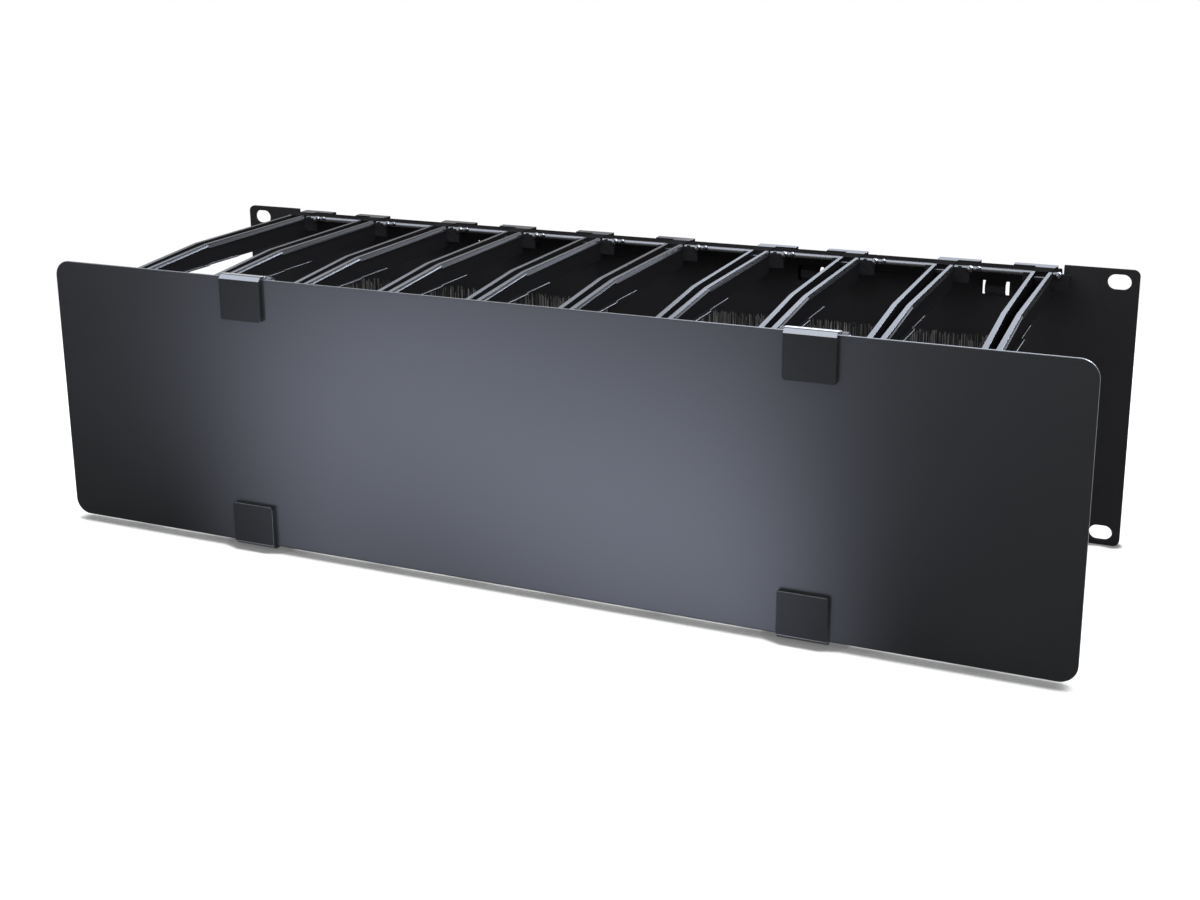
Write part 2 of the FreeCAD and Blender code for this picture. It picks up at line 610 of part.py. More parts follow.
def cover_clip(doc, label):
    """Clip over the cover's edge: front pad, rear leg, open barrel and two pegs."""
    body = new_body(doc, label)
    side = new_sketch(body, "saddle_side", "YZ_Plane")
    outline(side, [
        (f"-{CLIP_FRONT}", CLIP_LOW),
        (f"-{CLIP_FRONT}", CLIP_TOP),
        (f"-{LEG_BACK}", CLIP_TOP),
        (f"-{LEG_BACK}", f"{CLIP_TOP} - leg_deep"),
        (f"-{COVER_BACK}", f"{CLIP_TOP} - leg_deep"),
        (f"-{COVER_BACK}", COVER_TOP),
        ("-cover_reach", COVER_TOP),
        ("-cover_reach", CLIP_LOW),
    ])
    pad(body, "saddle", side, "clip_wide", side="Symmetric")
    front = value(doc, CLIP_FRONT)
    top = value(doc, CLIP_TOP)
    low = value(doc, CLIP_LOW)
    round_edges(body, "front_round", "clip_round", lambda a, b: (
        near(a.y, -front) and near(b.y, -front) and near(a.z, top) and near(b.z, top)))
    round_edges(body, "pad_corners", "clip_corner", lambda a, b: (
        near(a.x, b.x) and near(a.z, low) and near(b.z, low)))

    barrel = new_sketch(body, "barrel_side", "YZ_Plane")
    circle(barrel, f"-{AXIS_REACH}", AXIS_LEVEL, "barrel_radius")
    pad(body, "barrel", barrel, "clip_wide", side="Symmetric")
    bore = new_sketch(body, "bore_side", "YZ_Plane")
    circle(bore, f"-{AXIS_REACH}", AXIS_LEVEL, BORE_RADIUS)
    pocket(body, "bore", bore, side="Symmetric")
    mouth = new_sketch(body, "mouth_side", "YZ_Plane")
    rectangle(mouth, f"-{AXIS_REACH}", f"{AXIS_LEVEL} - {BORE_RADIUS}",
              f"-{AXIS_REACH} + barrel_radius + {CLEAR}", f"{AXIS_LEVEL} + {BORE_RADIUS}")
    pocket(body, "mouth", mouth, side="Symmetric")
    clip_pegs(body)
    return body


def clip_pegs(body):
    """Two pegs through the cover, each with a sloping catch behind it."""
    upper = f"({PEG_LEVEL} + peg_high / 2)"
    lower = f"({PEG_LEVEL} - peg_high / 2)"
    for number, peg in enumerate(("-", ""), start=1):
        view = new_sketch(body, f"peg_side_{number}", "YZ_Plane", f"{peg}peg_spread / 2")
        outline(view, [
            ("-cover_reach", lower),
            ("-cover_reach", upper),
            (f"-{COVER_BACK}", upper),
            (f"-{COVER_BACK}", f"{upper} + peg_catch"),
            (f"-{COVER_BACK} + peg_nose", f"{upper} - peg_catch"),
            (f"-{COVER_BACK} + peg_nose", lower),
        ])
        pad(body, f"peg_{number}", view, "peg_wide", side="Symmetric")


def hinge_bracket(doc, label):
    """Bar under two neighbouring fingers, with tabs round their lips and two ears."""
    body = new_body(doc, label)
    half = "(finger_pitch / 2)"
    inner = f"({half} - lip_broad / 2 - tab_gap)"
    outer = f"({half} + lip_broad / 2 + tab_gap)"
    front = f"(-{AXIS_REACH} - {EAR_RADIUS})"
    plan = new_sketch(body, "bar_plan", "XY_Plane", FINGER_LOW)
    rectangle(plan, f"-{outer} - tab_thick", front,
              f"{outer} + tab_thick", f"{front} + bracket_deep")
    pad(body, "bar", plan, "bracket_thick", reverse=True)
    tabs = new_sketch(body, "tab_plan", "XY_Plane", FINGER_LOW)
    for turn in ("-", ""):
        for start, end in ((f"({inner} - tab_thick)", inner), (outer, f"({outer} + tab_thick)")):
            rectangle(tabs, f"{turn}{start}", front, f"{turn}{end}", f"{front} + bracket_deep")
    pad(body, "tabs", tabs, "tab_high")
    stems = new_sketch(body, "stem_plan", "XY_Plane", FINGER_LOW)
    for turn in ("-", ""):
        rectangle(stems, f"{turn}{EAR_INNER}", front,
                  f"{turn}{EAR_OUTER}", f"{front} + 2 * {EAR_RADIUS}")
    pad(body, "stems", stems, f"{AXIS_LEVEL} - {FINGER_LOW}")
    for number, turn in enumerate(("-", ""), start=1):
        middle = f"{turn}({EAR_INNER} + ear_thick / 2)"
        boss = new_sketch(body, f"boss_side_{number}", "YZ_Plane", middle)
        circle(boss, f"-{AXIS_REACH}", AXIS_LEVEL, EAR_RADIUS)
        pad(body, f"boss_{number}", boss, "ear_thick", side="Symmetric")
    bore = new_sketch(body, "pin_bore_side", "YZ_Plane")
    circle(bore, f"-{AXIS_REACH}", AXIS_LEVEL, "pin_radius")
    pocket(body, "pin_bore", bore, side="Symmetric")
    return body


def hinge_pin(doc, label):
    """Round pin through both ears of a bracket."""
    body = new_body(doc, label)
    view = new_sketch(body, "pin_side", "YZ_Plane")
    circle(view, f"-{AXIS_REACH}", AXIS_LEVEL, "pin_radius")
    pad(body, "pin", view, f"2 * ({EAR_OUTER} + pin_stick)", side="Symmetric")
    return body


def hinge_sets(doc):
    """Bracket, pin and clip at each of the four corners of the cover."""
    makers = {"hinge_bracket": hinge_bracket, "hinge_pin": hinge_pin, "cover_clip": cover_clip}
    bodies = []
    for kind, make in makers.items():
        master = None
        for row in ("top", "bottom"):
            for side, x in (("left", f"-{HINGE_MIDDLE}"), ("right", HINGE_MIDDLE)):
                label = f"{kind}_{row}_{side}"
                if master is None:
                    master = make(doc, label)
                    place(master, x)
                    bodies.append(master)
                else:
                    bodies.append(repeat(doc, label, master, x, upside_down=row == "bottom"))
    return bodies


def brush_holder(doc, label, side):
    """Bent channel below a window, with two hooks through the plate."""
    body = new_body(doc, label)
    view = new_sketch(body, "holder_side", "YZ_Plane", f"{side}{WINDOW_MIDDLE}")
    outline(view, [
        ("-plate_thick", HOLDER_LOW),
        ("-plate_thick", HOLDER_TOP),
        (f"-{BRUSH_BACK}", HOLDER_TOP),
        (f"-{BRUSH_BACK}", HOLDER_FLOOR),
        (f"-{BRUSH_FRONT}", HOLDER_FLOOR),
        (f"-{BRUSH_FRONT}", HOLDER_TOP),
        (f"-{BRUSH_FRONT} - holder_wall", HOLDER_TOP),
        (f"-{BRUSH_FRONT} - holder_wall", f"{HOLDER_FLOOR} - holder_wall"),
        (f"-{BRUSH_BACK}", f"{HOLDER_FLOOR} - holder_wall"),
        (f"-{BRUSH_BACK}", HOLDER_LOW),
    ])
    pad(body, "channel", view, f"{BRUSH_FAR} - {BRUSH_NEAR}", side="Symmetric")
    for number, x in enumerate(hook_places((side,)), start=1):
        bent = new_sketch(body, f"hook_side_{number}", "YZ_Plane", x)
        outline(bent, [
            ("-plate_thick", HOOK_LOW),
            ("holder_wall", HOOK_LOW),
            ("holder_wall", f"{HOOK_TOP} + hook_rise / 2"),
            ("0", f"{HOOK_TOP} + hook_rise / 2"),
            ("0", f"{HOOK_LOW} + holder_wall"),
            ("-plate_thick", f"{HOOK_LOW} + holder_wall"),
        ])
        pad(body, f"hook_{number}", bent, "hook_wide", side="Symmetric")
    return body


def bristle_row(doc, label, side):
    """Row of upright tufts, notched between them and ragged at the tips."""
    body = new_body(doc, label)
    start = f"({WINDOW_MIDDLE} - ({BRUSH_FAR} - {BRUSH_NEAR}) / 2)"
    offset = "0" if side == "" else f"-2 * {WINDOW_MIDDLE}"
    plan = new_sketch(body, "row_plan", "XY_Plane", HOLDER_FLOOR)
    rectangle(plan, f"{start} + {offset}", f"-{BRUSH_FRONT}",
              f"{start} + {offset} + {BRUSH_FAR} - {BRUSH_NEAR}", f"-{BRUSH_BACK}")
    pad(body, "row", plan, f"bristle_tip - {HOLDER_FLOOR}")
    first = f"({start} + {offset} + tuft_pitch)"
    notch = new_sketch(body, "notch_plan", "XY_Plane", HOLDER_TOP)
    outline(notch, [
        (f"{first} - tuft_notch", f"-{BRUSH_FRONT}"),
        (first, f"-{BRUSH_FRONT} + tuft_notch"),
        (f"{first} + tuft_notch", f"-{BRUSH_FRONT}"),
    ])
    groove = pocket(body, "notch", notch, reverse=True)
    ragged = new_sketch(body, "ragged_face", "XZ_Plane")
    outline(ragged, [
        (f"{first} - tuft_pitch / 4", "bristle_tip"),
        (first, "bristle_tip - ragged_deep"),
        (f"{first} + tuft_pitch / 4", "bristle_tip"),
    ])
    tips = pocket(body, "ragged_tip", ragged)
    span = value(doc, f"{BRUSH_FAR} - {BRUSH_NEAR}")
    pattern = body.newObject("PartDesign::LinearPattern", "tufts")
    pattern.Originals = [groove, tips]
    pattern.Direction = (plan, ["H_Axis"])
    pattern.Mode = "Spacing"
    pattern.setExpression("Offset", bind("tuft_pitch"))
    pattern.Occurrences = int((span - 2) / value(doc, "tuft_pitch"))
    body.Tip = pattern
    return body


def hook_places(sides=("-", "")):
    """Middles of the holders' hooks along X."""
    half = f"(({BRUSH_FAR} - {BRUSH_NEAR}) / 2 - hook_inset)"
    return [f"({side}{WINDOW_MIDDLE} {end} {half})" for side in sides for end in ("-", "+")]


def build(doc):
    make_sheet(doc)
    bodies = [mounting_plate(doc)]
    bodies += finger_rows(doc)
    bodies.append(cover_panel(doc))
    bodies += hinge_sets(doc)
    for name, side in (("left", "-"), ("right", "")):
        bodies.append(brush_holder(doc, f"brush_holder_{name}", side))
        bodies.append(bristle_row(doc, f"bristles_{name}", side))
    doc.recompute()
    return bodies


def check(doc, bodies):
    """Stop before anything is written when a feature failed or a shape is bad."""
    failed = [item.Name for item in doc.Objects
              if "Invalid" in item.State or "Error" in item.State]
    if failed:
        raise RuntimeError(f"features failed: {failed}")
    for body in bodies:
        shape = body.Shape
        if shape.isNull() or not shape.isValid() or not shape.Solids:
            raise RuntimeError(f"bad shape: {body.Label}")


def export(bodies):
    os.makedirs("parts", exist_ok=True)
    for body in bodies:
        body.Shape.exportStep(f"parts/{body.Label}.step")


document = FreeCAD.newDocument("cable_manager")
pieces = build(document)
check(document, pieces)
export(pieces)
for piece in pieces:
    print(piece.Label, len(piece.Shape.Solids), round(piece.Shape.Volume / 1000, 2), "cc")
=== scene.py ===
"""Visual model of a horizontal cable manager, laid out as an add-on and run as a script.

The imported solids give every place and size. Most pieces here are those solids with
their edges broken; the brushes are made of separate bristles, and the hinge brackets
and pins stay as they are. Each of them gets its finish.
"""

import math
import random

import bmesh
import bpy
from bpy.props import FloatProperty, FloatVectorProperty, IntProperty, PointerProperty
from mathutils import Matrix, Vector


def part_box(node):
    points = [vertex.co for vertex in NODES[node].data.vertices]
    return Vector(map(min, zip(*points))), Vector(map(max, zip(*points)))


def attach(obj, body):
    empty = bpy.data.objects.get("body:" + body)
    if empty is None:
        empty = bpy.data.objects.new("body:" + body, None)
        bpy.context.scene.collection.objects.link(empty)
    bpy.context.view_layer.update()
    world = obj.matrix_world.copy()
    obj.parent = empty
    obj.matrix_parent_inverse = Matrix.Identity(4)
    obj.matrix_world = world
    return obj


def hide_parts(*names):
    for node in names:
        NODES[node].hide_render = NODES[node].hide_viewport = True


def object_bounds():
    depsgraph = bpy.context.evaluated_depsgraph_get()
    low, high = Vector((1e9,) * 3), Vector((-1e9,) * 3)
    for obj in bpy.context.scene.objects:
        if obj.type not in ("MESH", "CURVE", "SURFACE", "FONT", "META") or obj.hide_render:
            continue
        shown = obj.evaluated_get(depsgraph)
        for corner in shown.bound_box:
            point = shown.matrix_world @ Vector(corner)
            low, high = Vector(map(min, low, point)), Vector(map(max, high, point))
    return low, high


bl_info = {
    "name": "Horizontal cable manager",
    "version": (1, 0, 0),
    "blender": (4, 5, 0),
    "location": "View3D > Sidebar > Cable manager",
    "description": "Builds the visual model of a horizontal cable manager and its stage",
    "category": "Object",
}

MM = 0.001
SENSOR_WIDE = 36.0
FRAME_BODY = "frame"
COVER_BODY = "cover"
CORNERS = ("top_left", "top_right", "bottom_left", "bottom_right")
SHARP_ANGLE = math.radians(28)
FLAT_ANGLE = math.radians(0.4)
SMOOTH_ANGLE = math.radians(50)
NEAR = 0.01 * MM
SAME_PLACE = 0.002 * MM

# Marks on the faces of a moulding: polished rails, and nubs that are polished everywhere.
RAIL_MARK = 1.0
NUB_MARK = 2.2
NUB_MARK_FROM = 1.5

# The deck's nose, from where the rub starts to where it is full, ahead of the nose's front.
NOSE_FROM = 1.7 * MM
NOSE_FULL = 1.0 * MM
# The deck's painted shade, a darker colour: from where it starts before the plate to where it is
# full, and its level.
DECK_SHADE_FROM = -2.2 * MM
DECK_SHADE_FULL = -3.0 * MM
DECK_SHADE_LEVEL = 60 * MM

# A finger, above its inner side: where the lip lies and where the rails start.
LIP_LOW = 0.1 * MM
LIP_HIGH = 1.1 * MM
RAIL_FROM = 1.5 * MM
RAIL_FACING = 0.2
SHOE_FRONT = 1.6 * MM
NUB_PROUD = 0.2 * MM

# Draws of a bristle, as shares of the step, of the row's depth and of the half width.
ALONG_STEP = (0.1, 0.9)
ACROSS_ROW = (0.3, 0.7)
SHORT_POWER = 1.6
# Painted highlight: the chance that a bristle gets the lighter colour that stands for caught light,
# and how much of it.
GLINT_CHANCE = 0.35
GLINT_SHARE = (0.5, 1.0)
DARK_GLINT_SHARE = 0.1
BRISTLE_GIRTH = (0.6, 1.15)
BRISTLE_TAPER = 0.5
BRISTLE_LEAN = 0.6

# The floor: where it fades to white, how open it is by the object, and its tones; where it is little
# open, painted shadow darkens its colour and glow.
FLOOR_MIDDLE_Y = -0.08
FADE_FROM = 0.42
FADE_FULL = 0.72
SHADE_FROM = 0.78
SHADE_FULL = 0.95
SHADE_TONE = 0.15
SEEN_LEAST = 0.25
SEEN_LIFT = 0.62
UNSEEN_WHITE = 0.6

# The low glow, as shares of the cover's half width, and its slope and height.
GLOW_LEFT = (0.77, 0.33)
GLOW_RIGHT = (0.71, 0.36)
GLOW_MIDDLE = 0.3
GLOW_SLANT = 0.17
GLOW_RISE = 43 * MM
GLOW_DROP = 38 * MM
GLOW_HIGH = 110 * MM
GLOW_LOSS = 0.57
GLOW_ENDS = (-0.75, 0.35)
GLOW_REACH = 0.6
GLOW_GAP = 2 * MM
GLOW_LIFT = 1.5 * MM

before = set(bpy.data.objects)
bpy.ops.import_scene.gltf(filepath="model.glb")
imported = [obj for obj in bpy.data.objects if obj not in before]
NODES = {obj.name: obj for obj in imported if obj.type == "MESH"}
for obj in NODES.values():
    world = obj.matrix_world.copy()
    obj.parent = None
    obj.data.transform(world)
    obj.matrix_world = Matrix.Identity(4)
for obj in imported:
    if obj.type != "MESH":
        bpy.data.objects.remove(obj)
CAD_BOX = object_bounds()
FLOOR_LEVEL = CAD_BOX[0].z


def length(name, default, note):
    """A size that shows in the panel, in metres."""
    return FloatProperty(name=name, description=note, default=default, min=0.0,
                         subtype="DISTANCE", unit="LENGTH", precision=5)


def share(name, default, note):
    """A value from nothing to full."""
    return FloatProperty(name=name, description=note, default=default, min=0.0, max=1.0,
                         subtype="FACTOR")


def colour(name, default, note):
    """A colour without its alpha."""
    return FloatVectorProperty(name=name, description=note, default=default, size=3,
                               min=0.0, max=1.0, subtype="COLOR")


def power(name, default, note):
    """The power of a lamp, in watts."""
    return FloatProperty(name=name, description=note, default=default, min=0.0,
                         subtype="POWER", unit="POWER")


def place(name, default, note):
    """A place in the frame, in metres."""
    return FloatVectorProperty(name=name, description=note, default=default, size=3,
                               subtype="TRANSLATION", unit="LENGTH")


class CableManagerSizes(bpy.types.PropertyGroup):
    """Sizes of the edges and of the bristles."""

    sheet_edge: length("Sheet edge", 0.25 * MM, "Broken edge of the plate and the holders")
    cover_edge: length("Cover edge", 0.35 * MM, "Rounded edge of the cover")
    moulded_edge: length("Moulded edge", 0.1 * MM, "Edges of a finger and of a clip's back")
    lip_edge: length("Lip edge", 0.2 * MM, "Rounding of the outer edge of a finger's lower lip")
    lip_from: length("Start of the lip", 4.6 * MM, "Middle of a finger to where its lip stands out")
    rail_high: length("Rail height", 6.4 * MM, "Faces of a finger that rise less are polished")
    clip_edge: length("Clip edge", 0.3 * MM, "Rounding of the edges of a clip")
    clip_corner: length("Clip corner", 1.2 * MM, "Radius of the free corners of a clip's pad")
    clip_slope: length("Clip slope", 2.0 * MM, "Width of the slope at the top of a clip")
    nub_radius: length("Nub radius", 1.6 * MM, "Radius of the larger nub on a finger's shoe")
    nub_small: length("Small nub radius", 1.1 * MM, "Radius of the smaller nub beside it")
    nub_long: FloatProperty(name="Nub length", description="Length of a nub over its width",
                            default=1.9, min=1.0)
    nub_offset: length("Nub offset", 12.0 * MM, "Middle of a finger to its larger nub")
    nub_apart: length("Nub distance", 4.0 * MM, "Distance of the two nubs")
    cap_matt: length("Matt cap", 5.5 * MM, "Rear face of the plate to where a finger turns matt")
    bristle_step: length("Bristle step", 0.85 * MM, "Mean distance between two bristles")
    bristle_wide: length("Bristle width", 0.5 * MM, "Width of a bristle")
    bristle_ragged: length("Ragged tips", 4.2 * MM, "How much the bristles differ in height")
    bristle_bed: length("Dense part", 56 * MM, "Height up to which no light passes the bristles")
    bristle_rows: IntProperty(name="Rows of bristles", description="Rows of bristles, front to back",
                              default=3, min=1, max=5)


class CableManagerFinishes(bpy.types.PropertyGroup):
    """Colours and gloss of the finishes."""

    coat: colour("Powder coat", (0.022, 0.0215, 0.0235), "Textured powder coat of the plate")
    coat_rough: share("Powder coat roughness", 0.85, "Roughness of the powder coat")
    # Also sets how much painted shade darkens the deck's colour behind its nose.
    nose_gloss_and_deck_shade: share("Rubbed nose", 1.0, "How far the nose of the deck is rubbed smooth")
    paint: colour("Cover paint", (0.026, 0.0272, 0.029), "Satin paint of the cover")
    paint_rough: share("Cover roughness", 0.3, "Roughness of the cover's paint")
    moulding: colour("Finger plastic", (0.016, 0.016, 0.018), "Plastic of the fingers")
    moulding_rough: share("Finger roughness", 0.6, "Roughness of the matt walls of the fingers")
    rail_rough: share("Rail roughness", 0.2, "Roughness of the polished rails of the fingers")
    rail_gloss: share("Rail gloss", 0.45, "Gloss of the polished rails of the fingers")
    clip: colour("Clip plastic", (0.019, 0.02, 0.02), "Satin plastic of the clips")
    clip_rough: share("Clip roughness", 0.3, "Roughness of the clips")
    steel: colour("Pin steel", (0.36, 0.36, 0.37), "Drawn steel of the hinge pins")
    nylon_dark: colour("Dark bristles", (0.012, 0.012, 0.013), "Colour of most bristles")
    # Painted highlight: the lighter colour that some bristles get for the light they catch.
    nylon_glint: colour("Light bristles", (0.4, 0.39, 0.39), "Colour of the faded bristles")


class CableManagerStage(bpy.types.PropertyGroup):
    """Camera, floor and lamps."""

    eye: place("Camera", (0.29167, -0.72659, 0.21245), "Where the camera stands")
    yaw: FloatProperty(name="Camera yaw", description="Turn of the camera to the left",
                       default=0.4108, subtype="ANGLE", unit="ROTATION")
    dip: FloatProperty(name="Camera dip", description="How far the camera looks down",
                       default=0.2463, subtype="ANGLE", unit="ROTATION")
    roll: FloatProperty(name="Camera roll", description="Turn of the camera about its own line",
                        default=-0.0056, subtype="ANGLE", unit="ROTATION")
    focal: FloatProperty(name="Focal length", description="Focal length in millimetres",
                         default=46.7, min=1.0)
    drop: FloatProperty(name="Lens drop", description="Vertical shift of the lens", default=-0.1)
    floor: colour("Floor", (0.8, 0.8, 0.8), "Colour of the floor")
    over: power("Lamp overhead", 9.0, "Power of the lamp overhead")
    fill: power("Fill lamp", 5.0, "Power of the lamp at the right")
    room: FloatProperty(name="Room light", description="Strength of the light of the room",
                        default=0.45, min=0.0)
    room_tone: colour("Tone of the room", (0.93, 0.96, 1.0), "Colour of the light of the room")
    inner: power("Inner lamp", 0.32, "Power of the lamp over the gap between cover and plate")
    contact: length("Contact shadow", 6 * MM, "Reach of the dark floor close to the object")
    top_card: power("Top card", 60.0, "Glow of the card overhead that rounded edges reflect")
    left_card: power("Left back card", 6.2, "Glow of the long card that the tips' tops reflect")
    back_card: power("Back card", 5.0, "Glow of the card that the right fingers' tops reflect")
    rim_card: power("Low rim card", 2.5, "Glow of the card that the near rims reflect")
    bend_card: power("High rim card", 56.0, "Glow of the card that the rims past the bend reflect")
    card_tone: colour("Tone of the cards", (0.75, 0.83, 1.0), "Colour of the cards")
    glow: FloatProperty(name="Low glow", description="Strength of the card that the cover reflects",
                        default=15.6, min=0.0)
    glow_tone: colour("Tone of the low glow", (0.74, 0.785, 0.98), "Colour of that card")


class Wire:
    """A shader socket whose arithmetic adds Math nodes to its tree."""

    def __init__(self, tree, socket):
        self.tree = tree
        self.socket = socket

    def _maths(self, operation, first, second):
        node = self.tree.nodes.new("ShaderNodeMath")
        node.operation = operation
        for slot, item in zip(node.inputs, (first, second)):
            if isinstance(item, Wire):
                self.tree.links.new(item.socket, slot)
            else:
                slot.default_value = item
        return Wire(self.tree, node.outputs[0])

    def __add__(self, other):
        return self._maths("ADD", self, other)

    __radd__ = __add__

    def __sub__(self, other):
        return self._maths("SUBTRACT", self, other)

    def __rsub__(self, other):
        return self._maths("SUBTRACT", other, self)

    def __mul__(self, other):
        return self._maths("MULTIPLY", self, other)

    __rmul__ = __mul__

    def __truediv__(self, other):
        return self._maths("DIVIDE", self, other)

    def __rtruediv__(self, other):
        return self._maths("DIVIDE", other, self)

    def __gt__(self, other):
        return self._maths("GREATER_THAN", self, other)

    def __abs__(self):
        return self._maths("ABSOLUTE", self, 0.0)


class Tree:
    """A node tree that is built up node by node."""

    def __init__(self, tree):
        self.tree = tree
        self.tree.nodes.clear()

    def node(self, kind, settings=None, **sockets):
        """Add a node: its settings first, then the values or links of its sockets."""
        node = self.tree.nodes.new(kind)
        for name, setting in (settings or {}).items():
            setattr(node, name, setting)
        for name, item in sockets.items():
            slot = node.inputs[name.replace("_", " ")]
            if isinstance(item, Wire):
                item = item.socket
            if isinstance(item, bpy.types.NodeSocket):
                self.tree.links.new(item, slot)
            else:
                slot.default_value = item
        return node

    def wire(self, socket):
        """A socket that can be reckoned with."""
        return Wire(self.tree, socket)

    def between(self, factor, first, second):
        """Colour between two colours."""
        mix = self.node("ShaderNodeMix", {"data_type": "RGBA"})
        self.tree.links.new(factor.socket, mix.inputs[0])
        for slot, item in zip((mix.inputs[6], mix.inputs[7]), (first, second)):
            slot.default_value = (*item, 1.0)
        return mix.outputs[2]

    def blend(self, factor, first, second):
        """Shader between two shaders."""
        mix = self.node("ShaderNodeMixShader")
        for slot, item in zip(mix.inputs, (factor.socket, first, second)):
            self.tree.links.new(item, slot)
        return mix.outputs[0]

    def ramp(self, item, start, end):
        """Zero before the start and one past the end, with a soft passage."""
        return self.wire(self.node(
            "ShaderNodeMapRange", {"interpolation_type": "SMOOTHSTEP"},
            Value=item, From_Min=start, From_Max=end).outputs[0])

    def seen(self):
        """One where the camera looks, also in a reflection or through a clear thing."""
        path = self.node("ShaderNodeLightPath").outputs
        camera, glossy, clear = [self.wire(path[name]) for name in (
            "Is Camera Ray", "Is Glossy Ray", "Is Transmission Ray")]
        return (camera + glossy + clear) > 0.5


class Finish(Tree):
    """A material in the object's own coordinates."""

    def __init__(self, name):
        self.material = bpy.data.materials.new(name)
        self.material.use_nodes = True
        super().__init__(self.material.node_tree)
        self.place = self.node("ShaderNodeTexCoord").outputs["Object"]

    def axes(self):
        """The place on the object, as its three parts."""
        split = self.node("ShaderNodeSeparateXYZ", None, Vector=self.place)
        return [self.wire(socket) for socket in split.outputs]

    def noise(self, size, stretch=(1.0, 1.0, 1.0), detail=2.0):
        """Noise with grains of a size in metres, stretched along the axes."""
        scale = [1.0 / factor for factor in stretch]
        spot = self.node("ShaderNodeMapping", None, Vector=self.place, Scale=scale)
        noise = self.node("ShaderNodeTexNoise", None, Vector=spot.outputs[0],
                          Scale=1.0 / size, Detail=detail, Roughness=0.55)
        return self.wire(noise.outputs[0])

    def bump(self, height, depth):
        """Normal of a surface whose relief is as deep as given, in metres."""
        bump = self.node("ShaderNodeBump", None, Height=height, Distance=depth, Strength=1.0)
        return bump.outputs[0]

    def surface(self, **sockets):
        """Finish with a Principled shader and return the material."""
        return self.show(self.node("ShaderNodeBsdfPrincipled", None, **sockets).outputs[0])

    def show(self, shader):
        """Finish with any shader and return the material."""
        self.node("ShaderNodeOutputMaterial", None, Surface=shader)
        return self.material


def shade(tone, factor):
    """A colour made darker or lighter."""
    return tuple(min(1.0, part * factor) for part in tone)


def powder_coat(name, tone, rough, nose_gloss_deck_shade=0.0):
    """Orange peel with the faint cloudiness of sprayed powder. As far as asked, the nose
    of the deck gets a smooth coat, and the deck behind it painted shade: a darker colour."""
    finish = Finish(name)
    cloud = finish.noise(60 * MM, detail=3.0)
    peel = finish.noise(0.7 * MM, detail=3.0)
    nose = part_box("mounting_plate")[0].y
    _, ahead, up = finish.axes()
    rubbed = finish.ramp(ahead, nose + NOSE_FROM, nose + NOSE_FULL) * nose_gloss_deck_shade
    # Painted shade: the deck flange ahead of the plate's face gets a darker colour.
    deck = finish.ramp(ahead, DECK_SHADE_FROM, DECK_SHADE_FULL) * (abs(up) > DECK_SHADE_LEVEL) * nose_gloss_deck_shade
    return finish.surface(
        Base_Color=finish.between((cloud * 0.6 + 0.4) * (1.0 - deck),
                                  shade(tone, 0.55), shade(tone, 1.3)),
        Roughness=cloud * 0.1 + peel * 0.1 + (rough - 0.1),
        Specular_IOR_Level=0.0,
        Coat_Weight=rubbed,
        Coat_Roughness=0.25,
        Normal=finish.bump(peel, 0.06 * MM))


def satin_paint(name, tone, rough):
    """Smooth satin paint over sheet steel, with a very fine grain."""
    finish = Finish(name)
    cloud = finish.noise(90 * MM, detail=2.0)
    grain = finish.noise(0.45 * MM, detail=2.0)
    return finish.surface(
        Base_Color=finish.between(cloud, shade(tone, 0.9), shade(tone, 1.12)),
        Roughness=cloud * 0.05 + grain * 0.05 + (rough - 0.05),
        Specular_IOR_Level=0.15,
        Normal=finish.bump(grain, 0.012 * MM))


def moulded_plastic(name, tone, rough, gloss, grain_size, grain_depth, polish=(1.0, 0.2, 1.42),
                    matt=None):
    """Moulded plastic: faint flow marks and a fine mould texture, smoother where the
    faces of the piece are marked as polished. The polish has a weight, a roughness and an
    IOR. Between two places from front to back only the faces with a nub's mark keep it."""
    finish = Finish(name)
    marked = finish.wire(finish.node(
        "ShaderNodeAttribute", {"attribute_name": "polished"}).outputs["Fac"])
    polished = marked * polish[0]
    if matt:
        ahead = finish.axes()[1]
        between = (ahead > matt[0]) * (1.0 - (ahead > matt[1]))
        polished = polished * (1.0 - between * (1.0 - (marked > NUB_MARK_FROM)))
    flow = finish.noise(6 * MM, stretch=(1.0, 8.0, 1.0), detail=3.0)
    grain = finish.noise(grain_size, detail=2.0)
    return finish.surface(
        Base_Color=finish.between(flow, shade(tone, 0.88), shade(tone, 1.14)),
        Roughness=flow * 0.06 + (rough - 0.03),
        Specular_IOR_Level=gloss,
        Coat_Weight=polished,
        Coat_Roughness=polish[1],
        Coat_IOR=polish[2],
        Normal=finish.bump(grain, grain_depth))


def drawn_steel(name, tone):
    """Steel with the fine lines that drawing leaves along the pin."""
    finish = Finish(name)
    lines = finish.noise(0.12 * MM, stretch=(60.0, 1.0, 1.0), detail=2.0)
    return finish.surface(
        Base_Color=finish.between(lines, shade(tone, 0.7), shade(tone, 1.2)),
        Metallic=1.0,
        Roughness=lines * 0.2 + 0.25,
        Normal=finish.bump(lines, 0.01 * MM))


def nylon(name, dark, light):
    """Bristle nylon: dark, with painted highlights: single bristles get a lighter colour for the
    light they catch, streaked along their length.
    """
    finish = Finish(name)
    pick = finish.wire(finish.node(
        "ShaderNodeAttribute", {"attribute_name": "painted_glint"}).outputs["Fac"])
    along = finish.noise(5 * MM, stretch=(0.1, 0.1, 1.0), detail=2.0)
    return finish.surface(
        Base_Color=finish.between(pick * (along * 0.8 + 0.5), dark, light),
        Roughness=along * 0.2 + 0.35,
        Specular_IOR_Level=0.5)


